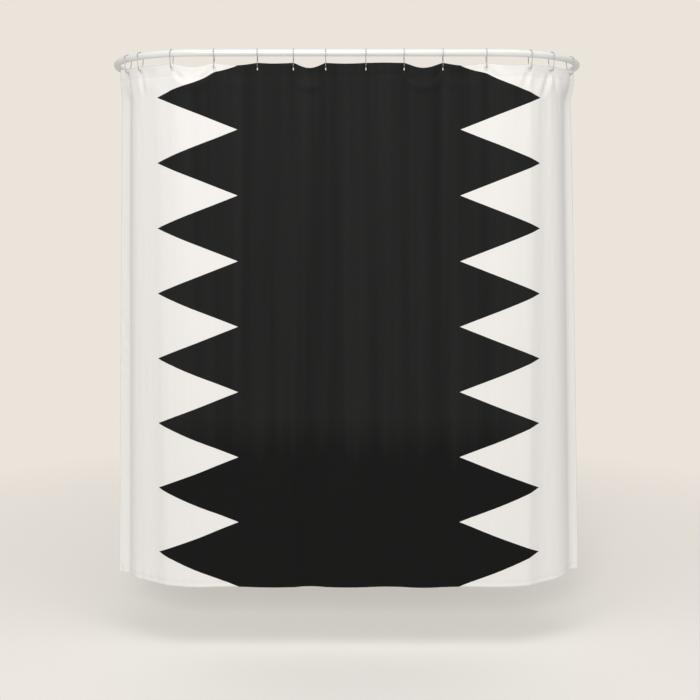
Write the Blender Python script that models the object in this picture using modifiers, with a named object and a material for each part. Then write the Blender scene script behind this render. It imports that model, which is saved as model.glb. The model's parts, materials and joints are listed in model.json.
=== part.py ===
"""A shower curtain that hangs on wire hooks from an oval hoop rail, which two stays hold to a wall."""

import math

import bmesh
import bpy
from mathutils import Matrix, Vector

# All sizes are in metres. +X is to the right, +Y to the wall and +Z up. The hem is at Z = 0.
GAP = 0.0003  # left between pieces that touch

# The hoop rail: two straights and two half-circle bends, of one tube size
RAIL_D = 0.025
RAIL_WALL = 0.0012
BEND_R = 0.36  # to the tube's centre line
STRAIGHT = 1.056  # between the bends, at the front and at the back
BEND_STEPS = 24
RAIL_TAIL = 0.06  # how far the front tube runs on past each bend at the back

# The sleeves that join the front tube to the rear tube
SLEEVE_WALL = 0.003
SLEEVE_LENGTH = 0.07
GRUB_D = 0.005
GRUB_SPREAD = 0.036  # between a sleeve's two grub screws

# The stays, from the saddles on the rear tube to the flanges on the wall
STAY_D = 0.025
STAY_WALL = 0.0012
STAY_SPREAD = 0.6
WALL_REACH = 0.1  # from the rear tube's centre line to the wall
SADDLE_WALL = 0.004
SADDLE_WIDTH = 0.034
SOCKET_WEB = 0.0075  # between the rear tube's wall and the end of the stay
SOCKET_DEPTH = 0.022
FLANGE_D = 0.074
FLANGE_PLATE = 0.004
FLANGE_NECK = 0.016
FLANGE_WALL = 0.0035
FLANGE_SCREWS = 3
SCREW_D = 0.0042
SCREW_HEAD_D = 0.0085
SCREW_HEAD = 0.0024

# The cloth, measured along the rail and downwards
CLOTH_WIDTH = 1.8
CLOTH_HEIGHT = 1.88
CLOTH_T = 0.0012
DOUBLED_T = 0.0024  # where the cloth is folded over and sewn
HEADER = 0.043
BOTTOM_HEM = 0.025
SIDE_HEM = 0.008

# The hooks, bent from one wire each. The spaces between them share out the run from first to last.
FIRST_HOOK = 0.054  # from the cloth's left edge
LAST_HOOK = 0.016  # from its right edge
HOOK_SPACES = [79, 140, 154, 155, 128, 115, 143, 136, 138, 155, 163, 97, 127]
WIRE_D = 0.0025
HOOK_PLAY = 0.00175  # between the wire and the sides of the rail
HOOK_FOOT_R = 0.010  # to the wire's centre line
HOOK_FOOT = 0.053  # from the rail's centre line down to the wire's, at its lowest
HOOK_MOUTH = 0.003  # between the wire's two ends, at the back

# The buttonholes, whose stitched edge is a ring of cord
STITCH_D = 0.0024
HOLE_PLAY = 0.00075  # between the wire and the sides of the ring
HOLE_H = 0.0144  # between the centre lines of the ring's two ends
EDGE_TO_WIRE = 0.016  # from the cloth's top edge down to the wire's centre line
ROCK_ROOM = 0.0008  # above the wire, so that a hook can rock on the rail

# What follows from these
HOOK_TOP_R = RAIL_D / 2 + HOOK_PLAY + WIRE_D / 2
HOLE_W = WIRE_D + STITCH_D + 2 * HOLE_PLAY
SOCKET_START = RAIL_D / 2 + SOCKET_WEB
RAIL_Z = CLOTH_HEIGHT - EDGE_TO_WIRE + HOOK_FOOT
FRONT_REACH = HOOK_TOP_R + WIRE_D / 2
DEPTH = FRONT_REACH + 2 * BEND_R + WALL_REACH
WALL_Y = DEPTH / 2
REAR_Y = WALL_Y - WALL_REACH
RAIL_Y = REAR_Y - 2 * BEND_R


def clear_scene():
    for old in list(bpy.data.objects):
        bpy.data.objects.remove(old, do_unlink=True)


def new_collection(name):
    made = bpy.data.collections.new(name)
    bpy.context.scene.collection.children.link(made)
    return made


def new_material(name, colour, roughness, metallic=0.0):
    made = bpy.data.materials.new(name)
    made.use_nodes = True
    shader = made.node_tree.nodes["Principled BSDF"]
    shader.inputs["Base Color"].default_value = (*colour, 1.0)
    shader.inputs["Roughness"].default_value = roughness
    shader.inputs["Metallic"].default_value = metallic
    return made


clear_scene()
parts = new_collection("shower_curtain")
cutters = new_collection("cutters")
enamel = new_material("white_enamel", (0.86, 0.85, 0.82), 0.25)
steel = new_material("bright_steel", (0.62, 0.62, 0.63), 0.2, 1.0)
cloth = new_material("cloth", (0.87, 0.85, 0.81), 0.75)
print_black = new_material("printed_cloth", (0.02, 0.02, 0.02), 0.7)
thread = new_material("thread", (0.82, 0.80, 0.76), 0.8)


def along_rail(s):
    """The rail's frame at s: X along the rail, Y to the inside of the hoop, Z up."""
    side = math.copysign(1.0, s)
    turn = max(0.0, abs(s) - STRAIGHT / 2) / BEND_R
    x = side * (min(abs(s), STRAIGHT / 2) + BEND_R * math.sin(turn))
    y = RAIL_Y + BEND_R * (1.0 - math.cos(turn))
    return Matrix.Translation((x, y, RAIL_Z)) @ Matrix.Rotation(side * turn, 4, "Z")


def hook_places():
    """Where the hooks hang along the rail, from its middle, to the right."""
    run = CLOTH_WIDTH - FIRST_HOOK - LAST_HOOK
    places = [FIRST_HOOK - CLOTH_WIDTH / 2]
    for space in HOOK_SPACES:
        places.append(places[-1] + run * space / sum(HOOK_SPACES))
    return places


def arc(centre, radius, start, end, steps):
    """Points (a, b) round a centre, with both ends, from angle start to angle end."""
    points = []
    for i in range(steps + 1):
        angle = start + (end - start) * i / steps
        points.append((centre[0] + radius * math.cos(angle), centre[1] + radius * math.sin(angle)))
    return points


def keep(obj, material, smooth_angle=None):
    """Put a finished sub-part in the collection, with its material."""
    obj.data.materials.append(material)
    if obj.name not in parts.objects:
        parts.objects.link(obj)
    if smooth_angle and obj.type == "MESH":
        obj.data.shade_smooth()
        obj.data.set_sharp_from_angle(angle=math.radians(smooth_angle))
    return obj


def poly_curve(name, points, matrix, cyclic=False, flat=False):
    """A curve of straight steps through the points, under the matrix. It isn't in a collection yet."""
    data = bpy.data.curves.new(name, "CURVE")
    data.dimensions = "2D" if flat else "3D"
    data.twist_mode = "MINIMUM"
    spline = data.splines.new("POLY")
    spline.points.add(len(points) - 1)
    for point, place in zip(spline.points, points):
        point.co = (*place, 1.0)
    spline.use_cyclic_u = cyclic
    spline.use_smooth = True
    made = bpy.data.objects.new(name, data)
    made.matrix_world = matrix
    return made


def wire(name, points, matrix, diameter, resolution, cyclic=False):
    made = poly_curve(name, points, matrix, cyclic)
    made.data.bevel_depth = diameter / 2
    made.data.bevel_resolution = resolution
    made.data.use_fill_caps = not cyclic
    return made


def hollow_tube(name, points, diameter, wall):
    """A tube with both ends open, whose wall is thickened inwards."""
    made = wire(name, points, Matrix.Identity(4), diameter, 4)
    made.data.use_fill_caps = False
    solid = made.modifiers.new("wall", "SOLIDIFY")
    solid.thickness = wall
    solid.offset = -1.0
    return made


def ribbon(name, s_start, s_end, low, high, thickness):
    """A band of cloth that hangs under the rail, from s_start to s_end and from low to high."""
    edge = STRAIGHT / 2
    places = [s_start, s_end]
    for side in (-1.0, 1.0):
        for i in range(int(CLOTH_WIDTH / 2 / (BEND_R * math.pi / BEND_STEPS)) + 1):
            places.append(side * (edge + i * BEND_R * math.pi / BEND_STEPS))
    places = sorted(s for s in set(places) if s_start <= s <= s_end)
    points = []
    for s in places:
        at = along_rail(s).translation
        points.append((at.x, at.y, 0.0))
    made = poly_curve(name, points, Matrix.Translation((0, 0, (low + high) / 2)), flat=True)
    made.data.fill_mode = "NONE"
    made.data.extrude = (high - low) / 2
    solid = made.modifiers.new("thickness", "SOLIDIFY")
    solid.thickness = thickness
    solid.offset = 0.0
    return made


def as_mesh(curve_object, merge=0.00005):
    """The curve object made a mesh object of the same name, with its loose edges welded."""
    parts.objects.link(curve_object)
    bpy.context.view_layer.update()
    evaluated = curve_object.evaluated_get(bpy.context.evaluated_depsgraph_get())
    data = bpy.data.meshes.new_from_object(evaluated)
    name = curve_object.name
    matrix = curve_object.matrix_world.copy()
    bpy.data.objects.remove(curve_object, do_unlink=True)
    weld = bmesh.new()
    weld.from_mesh(data)
    bmesh.ops.remove_doubles(weld, verts=weld.verts, dist=merge)
    weld.to_mesh(data)
    weld.free()
    made = bpy.data.objects.new(name, data)
    made.matrix_world = matrix
    return made


def cylinder(name, diameter, start, end, sides=24):
    """A closed cylinder between two points."""
    start = Vector(start)
    along = Vector(end) - start
    turn = Vector((0, 0, 1)).rotation_difference(along).to_matrix().to_4x4()
    shape = bmesh.new()
    bmesh.ops.create_cone(
        shape, cap_ends=True, segments=sides, radius1=diameter / 2, radius2=diameter / 2, depth=along.length
    )
    data = bpy.data.meshes.new(name)
    shape.to_mesh(data)
    shape.free()
    made = bpy.data.objects.new(name, data)
    made.matrix_world = Matrix.Translation(start + along / 2) @ turn
    return made


def turned(name, profile, matrix, sides=32):
    """A profile of (radius, height) points, from its foot up its outer side, turned about local Z."""
    shape = bmesh.new()
    # the Screw modifier turns faces outward on a profile that runs down its outer side
    corners = [shape.verts.new((r, 0.0, z)) for r, z in reversed(profile)]
    for a, b in zip(corners, corners[1:]):
        shape.edges.new((a, b))
    data = bpy.data.meshes.new(name)
    shape.to_mesh(data)
    shape.free()
    made = bpy.data.objects.new(name, data)
    made.matrix_world = matrix
    screw = made.modifiers.new("turn", "SCREW")
    screw.axis = "Z"
    screw.steps = sides
    screw.render_steps = sides
    screw.use_merge_vertices = True
    screw.merge_threshold = 0.00001
    return made


def combine(obj, other, operation):
    """Cut the other object out of this one, or join it on. The other stays as a hidden guide."""
    if other.name not in cutters.objects:
        cutters.objects.link(other)
    other.hide_render = True
    other.display_type = "WIRE"
    step = obj.modifiers.new(other.name, "BOOLEAN")
    step.operation = operation
    step.object = other


def build_rails():
    """The front tube with both bends, and the rear tube between its tails."""
    half = STRAIGHT / 2
    # the corners stand out by half of what a flat step would cut off the bend
    bend = BEND_R * (1.0 + (1.0 - math.cos(math.pi / BEND_STEPS / 2)) / 2)
    middle = RAIL_Y + BEND_R
    points = [(half - RAIL_TAIL, REAR_Y)]
    points += arc((half, middle), bend, math.pi / 2, -math.pi / 2, BEND_STEPS)
    points += arc((-half, middle), bend, -math.pi / 2, -3 * math.pi / 2, BEND_STEPS)
    points.append((-half + RAIL_TAIL, REAR_Y))
    front = hollow_tube("front_rail", [(x, y, RAIL_Z) for x, y in points], RAIL_D, RAIL_WALL)
    keep(front, enamel)
    end = half - RAIL_TAIL - GAP
    points = [(-end, REAR_Y, RAIL_Z), (end, REAR_Y, RAIL_Z)]
    keep(hollow_tube("rear_rail", points, RAIL_D, RAIL_WALL), enamel)


def build_couplings():
    """A sleeve over each joint of the two tubes, with a grub screw into each tube."""
    bore = RAIL_D / 2 + GAP
    outside = bore + SLEEVE_WALL
    number = 0
    for side, name in ((-1, "left_coupling"), (1, "right_coupling")):
        x = side * (STRAIGHT / 2 - RAIL_TAIL)
        half = SLEEVE_LENGTH / 2
        ends = ((x - half, REAR_Y, RAIL_Z), (x + half, REAR_Y, RAIL_Z))
        past = ((x - 2 * half, REAR_Y, RAIL_Z), (x + 2 * half, REAR_Y, RAIL_Z))
        sleeve = cylinder(name, 2 * outside, *ends, sides=32)
        combine(sleeve, cylinder(name + "_bore", 2 * bore, *past, sides=32), "DIFFERENCE")
        for step in (-GRUB_SPREAD / 2, GRUB_SPREAD / 2):
            number += 1
            foot = Vector((x + step, REAR_Y, RAIL_Z - bore))
            head = Vector((x + step, REAR_Y, RAIL_Z - outside))
            out = Vector((0, 0, -SLEEVE_WALL))
            hole = cylinder(f"grub_hole_{number}", GRUB_D + 2 * GAP, foot - out, head + out, sides=12)
            combine(sleeve, hole, "DIFFERENCE")
            screw = cylinder(f"coupling_screw_{number}", GRUB_D, foot, head, sides=12)
            keep(screw, steel, 40)
        keep(sleeve, enamel, 40)


def build_stays():
    """A saddle on the rear tube, a stay to the wall and a flange with its screws, on each side."""
    bore = RAIL_D + 2 * GAP
    socket = STAY_D + 2 * GAP
    plate = WALL_Y - FLANGE_PLATE
    for side, name in ((-1, "left"), (1, "right")):
        x = side * STAY_SPREAD / 2
        centre = Vector((x, REAR_Y, RAIL_Z))
        across = Vector((SADDLE_WIDTH / 2, 0, 0))
        back = Vector((0, 1, 0))

        collar_d = bore + 2 * SADDLE_WALL
        saddle = cylinder(f"{name}_saddle", collar_d, centre - across, centre + across, sides=32)
        boss_d = socket + 2 * SADDLE_WALL
        mouth = centre + back * (SOCKET_START + SOCKET_DEPTH)
        boss = cylinder(f"{name}_boss", boss_d, centre, mouth, sides=32)
        combine(saddle, boss, "UNION")
        rail = cylinder(f"{name}_rail_bore", bore, centre - 2 * across, centre + 2 * across, sides=32)
        combine(saddle, rail, "DIFFERENCE")
        start = centre + back * (SOCKET_START - GAP)
        stay_bore = cylinder(f"{name}_socket", socket, start, start + back * 2 * SOCKET_DEPTH, sides=32)
        combine(saddle, stay_bore, "DIFFERENCE")
        foot = centre - Vector((0, 0, bore / 2))
        head = centre - Vector((0, 0, bore / 2 + SADDLE_WALL))
        past = Vector((0, 0, -SADDLE_WALL))
        hole = cylinder(f"{name}_grub_hole", GRUB_D + 2 * GAP, foot - past, head + past, sides=12)
        combine(saddle, hole, "DIFFERENCE")
        keep(saddle, enamel, 40)
        keep(cylinder(f"{name}_saddle_screw", GRUB_D, foot, head, sides=12), steel, 40)

        ends = [(x, REAR_Y + SOCKET_START, RAIL_Z), (x, plate - GAP, RAIL_Z)]
        keep(hollow_tube(f"{name}_stay", ends, STAY_D, STAY_WALL), enamel)
        build_flange(name, Vector((x, WALL_Y, RAIL_Z)), socket)


def build_flange(name, centre, socket):
    """A round plate on the wall with a neck round the stay, and its ring of screws."""
    neck = socket / 2 + FLANGE_WALL
    rim = FLANGE_D / 2
    chamfer = FLANGE_PLATE / 4
    profile = [
        (0.0, 0.0),
        (rim, 0.0),
        (rim, FLANGE_PLATE - chamfer),
        (rim - chamfer, FLANGE_PLATE),
        (neck, FLANGE_PLATE),
        (neck, FLANGE_NECK),
        (socket / 2, FLANGE_NECK),
        (socket / 2, FLANGE_PLATE),
        (0.0, FLANGE_PLATE),
    ]
    facing = Matrix.Rotation(math.pi / 2, 4, "X")
    flange = turned(f"{name}_flange", profile, Matrix.Translation(centre) @ facing)
    front = Vector((0, -1, 0))
    for number in range(1, FLANGE_SCREWS + 1):
        angle = math.pi / 2 + (number - 1) * 2 * math.pi / FLANGE_SCREWS
        spot = centre + (neck + rim) / 2 * Vector((math.cos(angle), 0, math.sin(angle)))
        hole = cylinder(
            f"{name}_flange_hole_{number}",
            SCREW_D + 2 * GAP,
            spot - front * FLANGE_PLATE,
            spot + front * 2 * FLANGE_PLATE,
            sides=12,
        )
        combine(flange, hole, "DIFFERENCE")
        seat = FLANGE_PLATE + GAP
        shank = SCREW_D / 2
        head = SCREW_HEAD_D / 2
        shape = [
            (0.0, 0.0),
            (shank, 0.0),
            (shank, seat),
            (head, seat),
            (head, seat + SCREW_HEAD / 2),
            (head * 0.6, seat + SCREW_HEAD),
            (0.0, seat + SCREW_HEAD),
        ]
        turn = Matrix.Translation(spot) @ facing
        keep(turned(f"{name}_flange_screw_{number}", shape, turn, sides=12), steel, 40)
    keep(flange, enamel, 40)


def hook_points():
    """A hook's centre line as (y, z): over the rail, down the front, round the foot and up the back."""
    top = RAIL_D / 2 + GAP + WIRE_D / 2 - HOOK_TOP_R
    foot = HOOK_FOOT_R - HOOK_FOOT
    lean = math.asin((HOOK_TOP_R - HOOK_FOOT_R) / (top - foot))
    over = arc((0.0, top), HOOK_TOP_R, -lean, math.pi + lean, 10)
    under = arc((0.0, foot), HOOK_FOOT_R, math.pi + lean, 2 * math.pi - lean, 8)
    high, low = Vector(over[0]), Vector(under[-1])
    step = (high - low).normalized() * HOOK_MOUTH / 2
    middle = (high + low) / 2
    return [tuple(middle + step), *over, *under, tuple(middle - step)]


def build_hooks():
    # the front of the hoop is towards local -Y, so the arc's first side, at +Y, is the hook's back
    points = [(0.0, y, z) for y, z in hook_points()]
    for number, s in enumerate(hook_places(), 1):
        keep(wire(f"hook_{number:02d}", points, along_rail(s), WIRE_D, 2), steel)


def stadium(width, height, top, steps):
    """A closed upright outline with round ends, as (x, z), whose highest point is at top."""
    r = width / 2
    points = arc((0.0, top - r), r, 0.0, math.pi, steps)
    points += arc((0.0, top - height + r), r, math.pi, 2 * math.pi, steps)
    return points


def build_header():
    """The doubled band at the top, with a buttonhole and its stitched ring at each hook."""
    end = CLOTH_WIDTH / 2 - SIDE_HEM - GAP
    band = ribbon("header_band", -end, end, CLOTH_HEIGHT - HEADER, CLOTH_HEIGHT, DOUBLED_T)
    header = as_mesh(band)
    ring_top = -HOOK_FOOT + WIRE_D / 2 + ROCK_ROOM + STITCH_D / 2
    spare = STITCH_D / 2 + GAP
    ring = [(x, 0.0, z) for x, z in stadium(HOLE_W, HOLE_H, ring_top, 6)]
    hole = stadium(HOLE_W + 2 * spare, HOLE_H + 2 * spare, ring_top + spare, 6)
    shape = bmesh.new()
    for number, s in enumerate(hook_places(), 1):
        stitching = wire(f"buttonhole_{number:02d}", ring, along_rail(s), STITCH_D, 1, cyclic=True)
        keep(stitching, thread)
        outline = [shape.verts.new(along_rail(s) @ Vector((x, -2 * DOUBLED_T, z))) for x, z in hole]
        face = shape.faces.new(outline)
        pushed = bmesh.ops.extrude_face_region(shape, geom=[face])
        moved = [v for v in pushed["geom"] if isinstance(v, bmesh.types.BMVert)]
        through = along_rail(s).to_3x3() @ Vector((0, 4 * DOUBLED_T, 0))
        bmesh.ops.translate(shape, verts=moved, vec=through)
    bmesh.ops.recalc_face_normals(shape, faces=shape.faces)
    data = bpy.data.meshes.new("buttonhole_cutter")
    shape.to_mesh(data)
    shape.free()
    combine(header, bpy.data.objects.new("buttonhole_cutter", data), "DIFFERENCE")
    keep(header, cloth)


def build_cloth():
    """The single cloth below the header, and the turned hems at its foot and its sides."""
    edge = CLOTH_WIDTH / 2
    end = edge - SIDE_HEM - GAP
    keep(ribbon("bottom_hem", -end, end, 0.0, BOTTOM_HEM, DOUBLED_T), cloth)
    top = CLOTH_HEIGHT - HEADER - GAP
    keep(ribbon("curtain_panel", -end, end, BOTTOM_HEM + GAP, top, CLOTH_T), print_black)
    keep(ribbon("left_hem", -edge, -edge + SIDE_HEM, 0.0, CLOTH_HEIGHT, DOUBLED_T), cloth)
    keep(ribbon("right_hem", edge - SIDE_HEM, edge, 0.0, CLOTH_HEIGHT, DOUBLED_T), cloth)


build_rails()
build_couplings()
build_stays()
build_hooks()
build_header()
build_cloth()
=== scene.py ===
import json
import math

import bmesh
import bpy
import numpy as np
from mathutils import Matrix, Vector


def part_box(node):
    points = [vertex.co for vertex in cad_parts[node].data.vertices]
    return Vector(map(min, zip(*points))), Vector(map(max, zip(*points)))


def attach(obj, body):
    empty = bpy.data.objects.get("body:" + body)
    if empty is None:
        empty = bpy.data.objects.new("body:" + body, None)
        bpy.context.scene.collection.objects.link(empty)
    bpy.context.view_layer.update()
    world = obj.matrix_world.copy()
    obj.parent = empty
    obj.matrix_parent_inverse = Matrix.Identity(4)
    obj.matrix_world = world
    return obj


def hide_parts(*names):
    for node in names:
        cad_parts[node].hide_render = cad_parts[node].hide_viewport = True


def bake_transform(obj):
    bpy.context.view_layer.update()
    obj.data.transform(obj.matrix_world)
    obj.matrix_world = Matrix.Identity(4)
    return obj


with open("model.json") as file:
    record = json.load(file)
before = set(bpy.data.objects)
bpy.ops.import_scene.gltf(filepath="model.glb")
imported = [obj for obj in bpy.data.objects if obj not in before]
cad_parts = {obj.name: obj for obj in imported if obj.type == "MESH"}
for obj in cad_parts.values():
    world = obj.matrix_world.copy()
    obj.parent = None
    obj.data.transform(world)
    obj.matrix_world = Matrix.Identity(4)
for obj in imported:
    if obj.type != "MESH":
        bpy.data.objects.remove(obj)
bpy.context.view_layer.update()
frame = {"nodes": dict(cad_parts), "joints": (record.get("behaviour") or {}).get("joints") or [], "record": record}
joints = {joint["name"]: joint for joint in frame["joints"]}

# where the hoop rail runs, read from the frame
railLow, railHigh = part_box("front_rail")
rearLow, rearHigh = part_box("rear_rail")
tubeRadius = (railHigh.z - railLow.z) / 2
railZ = (railHigh.z + railLow.z) / 2
frontY = railLow.y + tubeRadius
rearY = (rearLow.y + rearHigh.y) / 2
bendCentre = Vector(joints["end_draw"]["pos_m"])
bendRadius = bendCentre.y - frontY
halfStraight = bendCentre.x
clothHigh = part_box("header_band")[1].z


def nothingSelected():
    if bpy.context.mode != "OBJECT":
        bpy.ops.object.mode_set(mode="OBJECT")
    bpy.ops.object.select_all(action="DESELECT")


def editMode():
    bpy.ops.object.mode_set(mode="EDIT")
    bpy.ops.mesh.select_all(action="SELECT")


def objectMode():
    bpy.ops.object.mode_set(mode="OBJECT")


def pick(obj):
    nothingSelected()
    obj.select_set(True)
    bpy.context.view_layer.objects.active = obj
    return obj


def startRing(name, radius, points, place, turn=(0, 0, 0)):
    # an open ring to extrude and spin from, with its place already in the mesh
    nothingSelected()
    bpy.ops.mesh.primitive_circle_add(vertices=points, radius=radius, location=place, rotation=turn)
    obj = bpy.context.active_object
    obj.name = name
    obj.data.name = name
    bpy.ops.object.transform_apply(location=True, rotation=True, scale=True)
    return obj


def pushOn(move):
    bpy.ops.mesh.extrude_region_move(TRANSFORM_OT_translate={"value": move})


def spinOn(angle, centre, axis, steps):
    # the spin tool turns the other way round from the right-hand rule
    bpy.ops.mesh.spin(steps=steps, angle=-angle, center=centre, axis=axis)


def applyModifier(obj, kind, **values):
    pick(obj)
    step = obj.modifiers.new(kind.lower(), kind)
    for name, value in values.items():
        setattr(step, name, value)
    bpy.ops.object.modifier_apply(modifier=step.name)
    return obj


def smooth(obj, degrees=40):
    pick(obj)
    bpy.ops.object.shade_smooth_by_angle(angle=math.radians(degrees))
    return obj


def outward(obj, merge=0.00002):
    pick(obj)
    editMode()
    bpy.ops.mesh.remove_doubles(threshold=merge)
    bpy.ops.mesh.normals_make_consistent(inside=False)
    objectMode()
    return obj


def copyOf(obj, name, matrix):
    made = obj.copy()
    made.data = obj.data.copy()
    made.name = name
    made.data.name = name
    made.data.transform(matrix)
    if matrix.determinant() < 0:
        made.data.flip_normals()
    bpy.context.scene.collection.objects.link(made)
    return made


def wear(obj, material):
    obj.data.materials.clear()
    obj.data.materials.append(material)
    return obj


def standsFor(obj, node, body="root"):
    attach(obj, body)
    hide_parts(node)


def onRail(r):
    # the rail's frame at r along it from its middle: X along the rail, Y inwards, Z up
    side = math.copysign(1.0, r)
    turn = max(0.0, abs(r) - halfStraight) / bendRadius
    x = side * (min(abs(r), halfStraight) + bendRadius * math.sin(turn))
    y = frontY + bendRadius * (1.0 - math.cos(turn))
    return Matrix.Translation((x, y, railZ)) @ Matrix.Rotation(side * turn, 4, "Z")


def alongRail(x):
    # how far along the rail from its middle a place with this X is
    past = max(0.0, abs(x) - halfStraight) / bendRadius
    return math.copysign(min(abs(x), halfStraight) + bendRadius * math.asin(min(past, 1.0)), x)


hookNames = [name for name in sorted(frame["nodes"]) if name.startswith("hook_")]
hookAt = []
for hookName in hookNames:
    hookLow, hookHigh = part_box(hookName)
    hookAt.append(alongRail((hookLow.x + hookHigh.x) / 2))


class Nodes:
    # a short way to write a node tree
    def __init__(self, name):
        self.material = bpy.data.materials.new(name)
        self.material.use_nodes = True
        self.tree = self.material.node_tree
        self.shader = self.tree.nodes["Principled BSDF"]

    def add(self, kind, **values):
        node = self.tree.nodes.new(kind)
        for name, value in values.items():
            setattr(node, name, value)
        return node

    def join(self, start, end):
        self.tree.links.new(start, end)

    def feed(self, socket, value):
        if isinstance(value, (int, float)):
            socket.default_value = value
        else:
            self.join(value, socket)

    def math(self, operation, first, second=0.0, third=0.0, clamp=False):
        node = self.add("ShaderNodeMath", operation=operation, use_clamp=clamp)
        for socket, value in zip(node.inputs, (first, second, third)):
            self.feed(socket, value)
        return node.outputs[0]

    def noise(self, vector, scale, detail=3.0, roughness=0.5, stretch=(1, 1, 1)):
        mapping = self.add("ShaderNodeMapping")
        mapping.inputs["Scale"].default_value = stretch
        self.join(vector, mapping.inputs["Vector"])
        node = self.add("ShaderNodeTexNoise")
        self.join(mapping.outputs[0], node.inputs["Vector"])
        node.inputs["Scale"].default_value = scale
        node.inputs["Detail"].default_value = detail
        node.inputs["Roughness"].default_value = roughness
        return node.outputs["Fac"]

    def between(self, value, low, high, start, end):
        node = self.add("ShaderNodeMapRange")
        self.feed(node.inputs["Value"], value)
        for name, number in zip(("From Min", "From Max", "To Min", "To Max"), (low, high, start, end)):
            self.feed(node.inputs[name], number)
        return node.outputs[0]

    def mix(self, share, first, second):
        node = self.add("ShaderNodeMix", data_type="RGBA")
        self.feed(node.inputs["Factor"], share)
        for socket, value in ((node.inputs[6], first), (node.inputs[7], second)):
            if isinstance(value, tuple):
                socket.default_value = (*value, 1.0)
            else:
                self.join(value, socket)
        return node.outputs[2]

    def bump(self, height, strength, distance, after=None):
        node = self.add("ShaderNodeBump")
        node.inputs["Strength"].default_value = strength
        node.inputs["Distance"].default_value = distance
        self.join(height, node.inputs["Height"])
        if after is not None:
            self.join(after, node.inputs["Normal"])
        return node.outputs[0]

    def put(self, name, value):
        socket = self.shader.inputs[name]
        if isinstance(value, tuple):
            socket.default_value = (*value, 1.0)
        elif isinstance(value, (int, float)):
            socket.default_value = value
        else:
            self.join(value, socket)


enamelLook = {
    "white": (0.76, 0.765, 0.77),
    "rubbed": (0.70, 0.705, 0.71),
    "gloss": (0.20, 0.34),
}


def makeEnamel(name, rubLine=None):
    # baked white enamel, faintly rippled, and dulled along the top where the hooks run
    n = Nodes(name)
    place = n.add("ShaderNodeTexCoord").outputs["Object"]
    cloud = n.noise(place, 9.0, 3.0)
    fine = n.noise(place, 900.0, 2.0)
    share = n.between(cloud, 0.35, 0.75, 0.0, 0.16)
    if rubLine is not None:
        split = n.add("ShaderNodeSeparateXYZ")
        n.join(place, split.inputs[0])
        height = n.between(split.outputs["Z"], rubLine, rubLine + 0.003, 0.0, 1.0)
        scratch = n.noise(place, 60.0, 4.0, 0.7, (1.0, 9.0, 9.0))
        rub = n.math("MULTIPLY", height, n.between(scratch, 0.48, 0.72, 0.0, 0.55))
        share = n.math("ADD", share, rub, clamp=True)
    n.put("Base Color", n.mix(share, enamelLook["white"], enamelLook["rubbed"]))
    n.put("Roughness", n.between(cloud, 0.3, 0.7, *enamelLook["gloss"]))
    n.put("Coat Weight", 0.25)
    n.put("Coat Roughness", 0.12)
    ripple = n.bump(cloud, 0.05, 0.002)
    n.put("Normal", n.bump(fine, 0.03, 0.0004, ripple))
    return n.material


def makeMetal(name, colour, dull, rough):
    # drawn or turned metal: fine grain, cloudy dulling and a slightly varied gloss
    n = Nodes(name)
    place = n.add("ShaderNodeTexCoord").outputs["Object"]
    cloud = n.noise(place, 160.0, 3.0)
    grain = n.noise(place, 2600.0, 2.0)
    n.put("Base Color", n.mix(n.between(cloud, 0.4, 0.75, 0.0, 0.7), colour, dull))
    n.put("Metallic", 1.0)
    n.put("Roughness", n.between(cloud, 0.3, 0.7, *rough))
    n.put("Normal", n.bump(grain, 0.08, 0.0002))
    return n.material


# the print, a plain one: a dark field down the middle, both its edges cut in even zigzags
printLook = {
    "teeth": 8,
    "inner": 0.40,
    "outer": 0.70,
    "ground": (0.80, 0.79, 0.778),
    # the ink's lit tone, and the same ink in painted shade for the lower part of the cloth
    "inkLitTop": (0.0120, 0.0122, 0.0124),
    "inkShadedFoot": (0.0034, 0.0035, 0.0036),
    "thread": 0.0008,
}


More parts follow.
